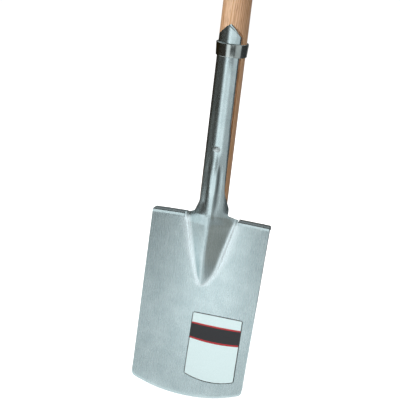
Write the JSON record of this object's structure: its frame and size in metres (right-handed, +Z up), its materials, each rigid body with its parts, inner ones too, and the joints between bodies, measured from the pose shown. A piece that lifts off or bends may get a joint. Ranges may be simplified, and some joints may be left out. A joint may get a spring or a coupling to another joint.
{
  "type": "garden spade",
  "caption": "Garden spade: a dished steel blade with treads, a ridged frog and a front strap riveted and ringed to a round ash shaft with a T-grip.",
  "frame": {"origin": "middle of the blade's cutting edge, on its front face", "axes": "+Z up along the shaft to the T-grip, -Y out of the blade's hollow front, +X to the right as seen from the front"},
  "size_m": [0.177, 0.0626, 1.1136],
  "materials": {
    "satin_steel": "satin, brushed along the blade",
    "ash_wood": "fine sanded and waxed",
    "ring_steel": "bright drawn, slightly dark",
    "fastener_steel": "bright",
    "wedge_wood": "sanded, end grain up",
    "label_film": "smooth sticker film, plain"
  },
  "bodies": {
    "root": {"blade": "satin_steel", "shaft": "ash_wood", "clamp_ring": "ring_steel", "ring_nail": "fastener_steel", "strap_rivet": "fastener_steel", "rivet_washer": "fastener_steel", "grip_bar": "ash_wood", "grip_wedge": "wedge_wood", "grip_pin": "fastener_steel", "label": "label_film"}
  },
  "joints": []
}
